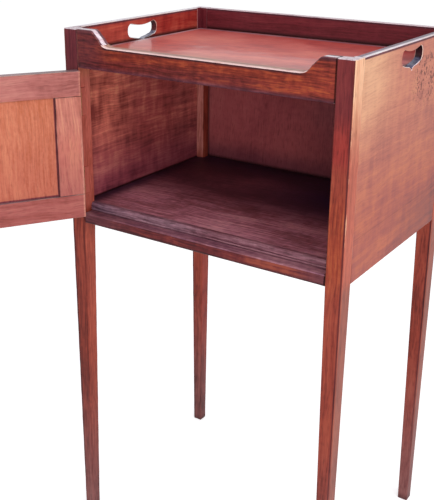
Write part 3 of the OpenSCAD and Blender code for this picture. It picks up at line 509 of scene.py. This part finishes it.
def moulding(x_ends, section, stations):
    """A closed section (y, z) carried along X: point (i, j) is (x_i, y_j, z_j), with both ends capped. The
    section sinks by up to 0.15 mm towards its middle, by a sine of 61 mm times one of 17 mm."""
    x = np.linspace(*x_ends, stations)
    sink = 0.00015 * (1 + np.sin(x * 2 * pi / 0.061) * np.sin(x * 2 * pi / 0.017)) / 2
    inward = section.mean(0) - section
    inward /= np.linalg.norm(inward, axis=1)[:, None]
    ring = section[None] + inward[None] * sink[:, None, None]
    points = np.concatenate([np.broadcast_to(x[:, None, None], (*ring.shape[:2], 1)), ring], axis=2)
    n = len(section)
    i, j = np.meshgrid(np.arange(stations - 1), np.arange(n), indexing="ij")
    a, b = i * n + j, i * n + (j + 1) % n
    faces = np.stack([a, b, b + n, a + n], axis=2).reshape(-1, 4).tolist()
    faces += [list(range(n))[::-1], list(range((stations - 1) * n, stations * n))]
    data = bpy.data.meshes.new("moulding")
    data.from_pydata(points.reshape(-1, 3).tolist(), [], faces)
    data.validate()
    return data


# Its section from the foot up: a bead, a groove, a flat face, a rounded nose and the plain back
bead_r, groove_d, nose_r, nose_y = 0.0016, 0.0010, 0.0034, 0.0042
lip_y, lip_z, lip_back, lip_top = lip_low.y, lip_low.z, lip_high.y, lip_high.z
bead_turn, nose_turn = np.linspace(0, pi, 9), np.linspace(0, pi / 2, 9)
bead = np.stack([lip_y + bead_r * (1 - np.sin(bead_turn)), lip_z + bead_r * (1 - np.cos(bead_turn))], axis=1)
groove = np.array([[lip_y + groove_d, lip_z + 0.0036], [lip_y + groove_d, lip_z + 0.0042]])
face = np.array([[lip_y, lip_z + 0.0044], [lip_y, lip_z + 0.0062], [lip_y + 0.0004, lip_z + 0.0066]])
nose = np.stack([lip_y + nose_y - nose_r * np.cos(nose_turn), lip_top - nose_r * (1 - np.sin(nose_turn))],
                axis=1)
back = np.array([[lip_back, lip_top], [lip_back, lip_z]])
lip = moulding((lip_low.x, lip_high.x), np.concatenate([bead, groove, face, nose, back])[::-1], 140)
lip.polygons.foreach_set("use_smooth", np.ones(len(lip.polygons), bool))
lip.set_sharp_from_angle(angle=radians(40))
# Polish scratched by the door: grey purple, more so on the left, with pale scratches along it
lip_wood = mahogany("scratched mahogany moulding", "X", (0.02, 0.30), ("#522a34", "#7c4c58", "#a4747e"),
                    [([("X", 0.02, -0.06)], ("#664450", "#946c7a", "#bc94a0")),
                     ([("X", -0.11, -0.17)], ("#4a3040", "#6c4c5c", "#8c6878"))],
                    lean=0.005, weights=(0.5, 0.9, 0.3, 0.6), coat=0.3, pores=0.4)
fit(lip, "floor_lip", "cupboard", lip_wood)

# ---- Door ----------------------------------------------------------------------
# A frame of two wide rails and two stiles, tenoned together, round a thin flat panel that is
# loose in its grooves. The photograph shows the inner side, faded to salmon, with the panel
# more orange. All its patterns are laid out on the shut door and turned open with it.
joint_places = {joint["name"]: Vector(joint["pos_m"]) for joint in frame["joints"]}
pin, open_turn = joint_places["door_hinge"], radians(122)
shut = (pin - Matrix.Rotation(open_turn, 3, "Z") @ pin, (0.0, 0.0, open_turn))
# On the shut door: its edge at the hinges, and the inner edges of its frame round the panel
hinge_edge, sight_x, sight_z_low, sight_z_high = -0.1802, -0.146, 0.5173, 0.6482
frame_tones = ("#8a413a", "#9f534e", "#ab6158")
frame_zones = [
    # Palest half way up, and duller along the upper edge
    ([("Z", 0.50, 0.60)], ("#a25548", "#bb6a5d", "#c77b65")),
    ([("Z", 0.640, 0.655)], ("#93514b", "#ad6761", "#ba776d")),
    # The arris beside the hinges carries a painted highlight, and the edge that meets the leg painted shade
    ([("X", hinge_edge + 0.0038, hinge_edge + 0.0018)], ("#a8645a", "#bc7868", "#c88676")),
    ([("X", hinge_edge + 0.0012, hinge_edge + 0.0004)], ("#64281f", "#7c3c30", "#8c4a3a"))]
# Grey purple on the faces that look up
grey_purple_tops = ("#64484e", "#8a686c", "#a88488")
painted_step_shadow = ("#50202a", "#70303a", "#843c40")
# Faded french polish: salmon, with a soft shine and the rails' grain level
rail_stain = mahogany("faded mahogany door rails", "X", (-0.20, 0.40), frame_tones,
                      [*frame_zones, ([face_up], grey_purple_tops)],
                      weights=(0.8, 0.7, 0.3, 0.9), pores=0.2, worn="#d0a090", turned=shut)
# The same, with the grain upright, a paler middle and painted shade on the step beside the panel
stile_stain = mahogany("faded mahogany door stiles", "Z", (0.40, -0.20), frame_tones,
                       [*frame_zones,
                        ([("Z", 0.58, 0.62)], ("#a65e50", "#c07566", "#ce8a70")),
                        ([("|X|", -sight_x + 0.0015, -sight_x + 0.0002)], ("#34141c", "#5c2a30", "#74403f"))],
                       weights=(0.8, 0.7, 0.3, 0.9), pores=0.2, worn="#c08c7c", turned=shut,
                       seams=[("Z", sight_z_high, 0.0010, 0.8), ("Z", sight_z_low, 0.0010, 0.5)])
# A thinner board of plainer wood: orange, with fine upright streaks, and a painted shadow at its sides and
# foot
panel_stain = mahogany("faded mahogany door panel", "Z", (0.03, -0.42), ("#a34f38", "#b35e4a", "#bf6d54"),
                       [([("Z", 0.50, 0.66)], ("#b25f3f", "#c26f53", "#cf8060")),
                        ([("|X|", -sight_x - 0.0018, -sight_x - 0.0008)], painted_step_shadow),
                        ([("Z", sight_z_low + 0.0024, sight_z_low + 0.0014)], painted_step_shadow)],
                       lean=0.02, weights=(0.5, 0.9, 0.4, 0.8), mottle_step=(0.003, 0.004), pores=0.15,
                       coat=0.15, turned=shut)
for part, stain in (("top_rail", rail_stain), ("bottom_rail", rail_stain), ("hinge_stile", stile_stain),
                    ("lock_stile", stile_stain)):
    fit(worn_copy("door_" + part, 0.0007, "Z"), "door_" + part, "door", stain)
fit(worn_copy("door_panel", 0.0004, "Z"), "door_panel", "door", panel_stain)

# ---- Hinges --------------------------------------------------------------------
# Two brass butt hinges with brass screws. The knuckles are rubbed bright, and the leaves, which
# no hand reaches, have gone as brown as the wood.


def metal(name, bright, stained, roughness, spot, rubbed=None):
    """Worn metal: a noise with patches of size spot mixes the bright colour with the stained one, and beyond
    rubbed (x, y, start, end), a distance from an upright line, all of it is stained."""
    material = bpy.data.materials.new(name)
    material.use_nodes = True
    tree = material.node_tree
    tree.nodes.clear()
    place = add(tree, "TexCoord").outputs["Object"]
    patches = add(tree, "TexNoise", {"Vector": place, "Scale": 1 / spot, "Detail": 4.0})
    share = add(tree, "MapRange", {"Value": patches, "From Min": 0.4, "From Max": 0.62})
    if rubbed:
        x, y, start, end = rubbed
        level = add(tree, "VectorMath", {0: place, 1: (1.0, 1.0, 0.0)}, operation="MULTIPLY")
        away = add(tree, "VectorMath", {0: level, 1: (x, y, 0.0)}, operation="DISTANCE").outputs["Value"]
        away = add(tree, "MapRange", {"Value": away, "From Min": start, "From Max": end})
        share = add(tree, "Math", {0: share, 1: away}, operation="MAXIMUM")
    colour = add(tree, "Mix", {0: share, 6: linear(bright), 7: linear(stained)}, data_type="RGBA").outputs[2]
    dull = add(tree, "MapRange", {"Value": share, "To Min": roughness, "To Max": roughness + 0.25})
    bare = add(tree, "MapRange", {"Value": share, "To Min": 1.0, "To Max": 0.3})
    # Scratches 0.1 mm wide are drawn 0.5 mm wide
    scratch = add(tree, "TexNoise", {"Vector": place, "Scale": 2000.0, "Detail": 1.0})
    relief = add(tree, "Bump", {"Height": scratch, "Distance": 0.00005, "Strength": 0.3})
    surface = add(tree, "BsdfPrincipled", {"Base Color": colour, "Roughness": dull, "Metallic": bare,
                                           "Normal": relief})
    add(tree, "OutputMaterial", {0: surface})
    return material


def dress(nodes, material):
    """Gives CAD nodes this material in place of their own."""
    for node in nodes:
        slots = frame["nodes"][node].data.materials
        slots.clear()
        slots.append(material)


# Cast and rolled brass: golden where it is rubbed, and under a brown film from 6 mm off the pin
dress(("hinge_leg_leaf_top", "hinge_leg_leaf_bottom", "hinge_door_leaf_top", "hinge_door_leaf_bottom",
       "hinge_pin_top", "hinge_pin_bottom", "leg_leaf_screws", "door_leaf_screws"),
      metal("brass hinges with stained leaves", "#f0c888", "#cc6a5c", 0.25, 0.005,
            (pin.x, pin.y, 0.0060, 0.0070)))

# ---- Knob and turn catch -------------------------------------------------------
# A turned brass knob on a stepped rose. Its spindle carries an arm that enters the leg to hold
# the door. The knob and rose are turned on a lathe, and the arm and nut are cut from plate.
knob_centre = joint_places["catch_turn"]
outward = Vector((-sin(open_turn), -cos(open_turn), 0.0))


def turned_piece(name, profile, closed):
    """A profile (radius, distance from the door, in mm) turned about the knob's axis: point (i, j) is
    centre + outward * t_i + r_i * (cos a_j * side + sin a_j * up). One that isn't closed has a pole at each
    end, where its points become one."""
    radius, reach = np.array(profile, float).T / 1000
    angles = np.linspace(0, 2 * pi, 64, endpoint=False)
    sideways = np.array(Vector((0, 0, 1)).cross(outward))
    rim = np.cos(angles)[:, None] * sideways + np.sin(angles)[:, None] * np.array((0.0, 0.0, 1.0))
    points = np.array(knob_centre) + reach[:, None, None] * np.array(outward) + radius[:, None, None] * rim
    rows, columns = len(radius), len(angles)
    i, j = np.meshgrid(np.arange(rows if closed else rows - 1), np.arange(columns), indexing="ij")
    a, b = i * columns + j, i * columns + (j + 1) % columns
    c, d = (i + 1) % rows * columns + (j + 1) % columns, (i + 1) % rows * columns + j
    data = bpy.data.meshes.new(name)
    faces = np.stack([a, b, c, d], axis=2).reshape(-1, 4)
    data.from_pydata(points.reshape(-1, 3).tolist(), [], faces.tolist())
    mesh = bmesh.new()
    mesh.from_mesh(data)
    bmesh.ops.remove_doubles(mesh, verts=mesh.verts, dist=1e-6)
    bmesh.ops.recalc_face_normals(mesh, faces=mesh.faces)
    for face in mesh.faces:
        face.smooth = True
    mesh.to_mesh(data)
    mesh.free()
    data.set_sharp_from_angle(angle=radians(35))
    return data


rose_profile = [(2.56, 0), (10, 0), (10, 0.4), (9.7, 0.7), (8.9, 0.8), (8.5, 1.15), (7.2, 1.35), (5.6, 1.4),
                (2.56, 1.4)]
# The ball is a circle flattened a little towards the hand: radius 8 sin v, distance 13.9 - 7.4 cos v
swing = np.linspace(0.45, pi, 24)
ball = list(zip(8 * np.sin(swing), 13.9 - 7.4 * np.cos(swing)))
# Under it are the neck, the foot and the bore for the spindle
knob_profile = [(0, 12.5), (2.52, 12.5), (2.52, 1.5), (4.8, 1.5), (5.1, 1.8), (5.1, 2.5), (4.7, 2.9),
                (4.0, 3.3), (3.5, 4.2), (3.3, 5.2), (3.3, 6.2), *ball]
# Old brass, handled but not cleaned: golden on top of brown patches 6 mm wide
brass = metal("aged brass", "#d8b060", "#7c5428", 0.25, 0.006)
fit(turned_piece("rose", rose_profile, True), "knob_rose", "door", brass)
fit(turned_piece("knob", knob_profile, False), "knob", "catch", brass)
dress(("rose_pins", "catch_spindle", "catch_arm", "catch_nut"), brass)

# ---- Screws and nails ----------------------------------------------------------
# Steel screws through the strips, and steel nails round the back panel. They were never plated,
# so rust has browned them and left them dull.
dress(("bearer_screws", "back_nails"), metal("rusted steel", "#6a5c54", "#4a2c20", 0.5, 0.003))

# ---- Floor, light and camera ---------------------------------------------------
# A plain white studio floor, two large soft lamps from the right and the front, and a white
# surround that lights the object from all sides at a lower level than it shows.
floor_data = bpy.data.meshes.new("studio_floor")
floor_data.from_pydata([(-9, -9, 0), (9, -9, 0), (9, 9, 0), (-9, 9, 0)], [], [(0, 1, 2, 3)])
studio_floor = bpy.data.objects.new("studio_floor", floor_data)
bpy.context.scene.collection.objects.link(studio_floor)
paint = bpy.data.materials.new("white studio paint")
paint.use_nodes = True
tree = paint.node_tree
tree.nodes.clear()
ray = add(tree, "LightPath")
matt = add(tree, "BsdfDiffuse", {"Color": (0.86, 0.86, 0.86, 1.0)})
glow = add(tree, "Emission", {"Color": (1.0, 1.0, 1.0, 1.0), "Strength": 0.54})
both = add(tree, "AddShader", {0: matt, 1: glow})
mixed = add(tree, "MixShader", {0: ray.outputs["Is Camera Ray"], 1: matt, 2: both})
add(tree, "OutputMaterial", {0: mixed})
floor_data.materials.append(paint)

world = bpy.data.worlds.new("white surround")
bpy.context.scene.world = world
world.use_nodes = True
tree = world.node_tree
tree.nodes.clear()
ray = add(tree, "LightPath")
seen = add(tree, "Math", {0: ray.outputs["Is Camera Ray"], 1: ray.outputs["Is Glossy Ray"]},
           operation="MAXIMUM")
seen = add(tree, "Math", {0: seen, 1: ray.outputs["Is Transmission Ray"]}, operation="MAXIMUM")
shade = add(tree, "Mix", {0: seen, 6: (0.56, 0.56, 0.58, 1.0), 7: (1.0, 1.0, 1.0, 1.0)},
            data_type="RGBA").outputs[2]
sky = add(tree, "Background", {"Color": shade, "Strength": 1.0})
add(tree, "OutputWorld", {0: sky})

for name, size, power, spot in (("window_lamp", 1.5, 31, (2.4, -0.8, 1.9)),
                                ("front_lamp", 1.2, 26, (1.4, -2.3, 0.8))):
    lamp = bpy.data.lights.new(name, "AREA")
    lamp.size = size
    lamp.energy = power
    stand = bpy.data.objects.new(name, lamp)
    stand.location = spot
    aim = Vector((0, 0, 0.5)) - Vector(spot)
    stand.rotation_euler = aim.to_track_quat("-Z", "Y").to_euler()
    bpy.context.scene.collection.objects.link(stand)

# The view of the photograph, in pixels: its size, its focal length, and where its axis meets it
picture_w, picture_h, focal, axis_x, axis_y = 434, 500, 864, 208.45, 204.04
yaw, pitch, roll = radians(34.02), radians(-19.22), radians(0.39)
forward = Vector((-sin(yaw) * cos(pitch), cos(yaw) * cos(pitch), sin(pitch)))
level = forward.cross(Vector((0, 0, 1))).normalized()
upright = level.cross(forward)
right = level * cos(roll) + upright * sin(roll)
up = upright * cos(roll) - level * sin(roll)
lens = bpy.data.cameras.new("camera")
lens.sensor_width = 36
lens.lens = focal / picture_h * lens.sensor_width
lens.shift_x = (picture_w / 2 - axis_x) / picture_h
lens.shift_y = (axis_y - picture_h / 2) / picture_h
lens.clip_start, lens.clip_end = 0.05, 50
camera = bpy.data.objects.new("camera", lens)
turned_view = Matrix((right, up, -forward)).transposed().to_4x4()
camera.matrix_world = Matrix.Translation((0.57240, -0.96893, 0.88090)) @ turned_view
bpy.context.scene.collection.objects.link(camera)
bpy.context.scene.camera = camera
bpy.context.scene.view_settings.view_transform = "Standard"
